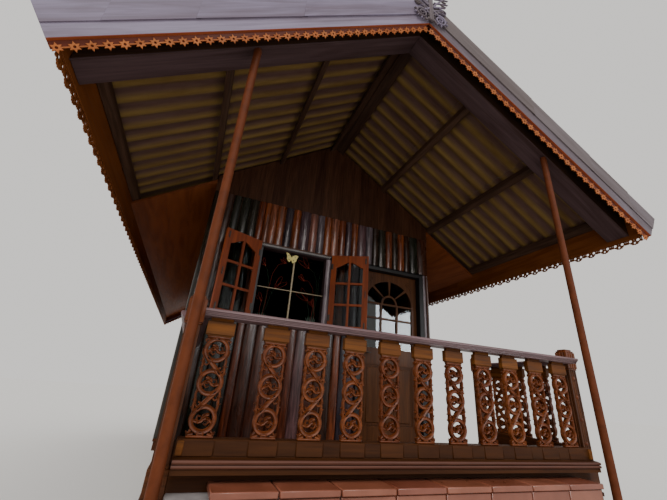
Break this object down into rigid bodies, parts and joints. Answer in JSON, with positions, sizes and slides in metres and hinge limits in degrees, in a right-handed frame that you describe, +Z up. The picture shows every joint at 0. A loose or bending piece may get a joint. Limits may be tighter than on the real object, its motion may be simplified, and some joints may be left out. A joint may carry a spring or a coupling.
{
  "type": "timber veranda bungalow",
  "caption": "Small gabled timber bungalow with log-slab walls, a deep front veranda with carved balustrade, fretwork barge boards and a hinged front door.",
  "frame": {"origin": "on the ground under the middle of the front plinth, below the front face of the veranda base rail", "axes": "+X to the right along the front, +Y from the veranda towards the back, +Z up"},
  "size_m": [5.4, 11.2289, 5.24],
  "materials": {
    "masonry": "rough painted masonry",
    "tile": "glazed pink-red tile",
    "floorboard": "varnished boards",
    "logs": "glossy varnished half-log slabs",
    "varnished": "varnished timber",
    "trim": "varnished boards with a mauve-grey sheen",
    "carved": "carved and varnished timber",
    "dark": "dark stained timber",
    "sash": "glossy varnished joinery",
    "glass": "clear window glass",
    "steel": "brown-red paint",
    "sheet": "weathered corrugated fibre cement",
    "yellow": "yellow paint"
  },
  "bodies": {
    "house": {"back_gable_panel": "dark", "back_wall": "logs", "door_frame": "dark", "foundation_back_wall": "masonry", "foundation_left_wall": "masonry", "foundation_right_wall": "masonry", "front_balusters": "carved", "front_base_rail": "varnished", "front_gable_panel": "dark", "front_handrail": "trim", "front_wall_left": "logs", "front_wall_middle": "logs", "front_wall_right": "logs", "front_wall_top": "logs", "front_wall_under_window": "logs", "gable_ornament": "trim", "left_back_barge": "trim", "left_eave_fascia": "carved", "left_front_barge": "trim", "left_newel": "varnished", "left_pipe_post": "steel", "left_roof_frame": "dark", "left_roof_sheet": "sheet", "left_sash": "sash", "left_sash_glass": "glass", "left_side_balustrade": "carved", "left_soffit": "varnished", "left_wall": "logs", "ridge_beam": "dark", "ridge_cap": "sheet", "right_back_barge": "trim", "right_eave_fascia": "carved", "right_front_barge": "trim", "right_newel": "varnished", "right_pipe_post": "steel", "right_roof_frame": "dark", "right_roof_sheet": "sheet", "right_sash": "sash", "right_sash_glass": "glass", "right_side_balustrade": "carved", "right_soffit": "varnished", "right_wall": "logs", "room_floor": "floorboard", "tiled_plinth": "tile", "veranda_deck": "floorboard", "window_cross": "yellow", "window_frame": "trim"},
    "door": {"door_leaf": "sash", "door_glass": "glass"}
  },
  "joints": [
    {"name": "door_hinge", "type": "hinge", "parent": "house", "child": "door", "pos_m": [1.44925, 2.354, 2], "axis": [0, 0, -1], "range_deg": [0, 85]}
  ]
}
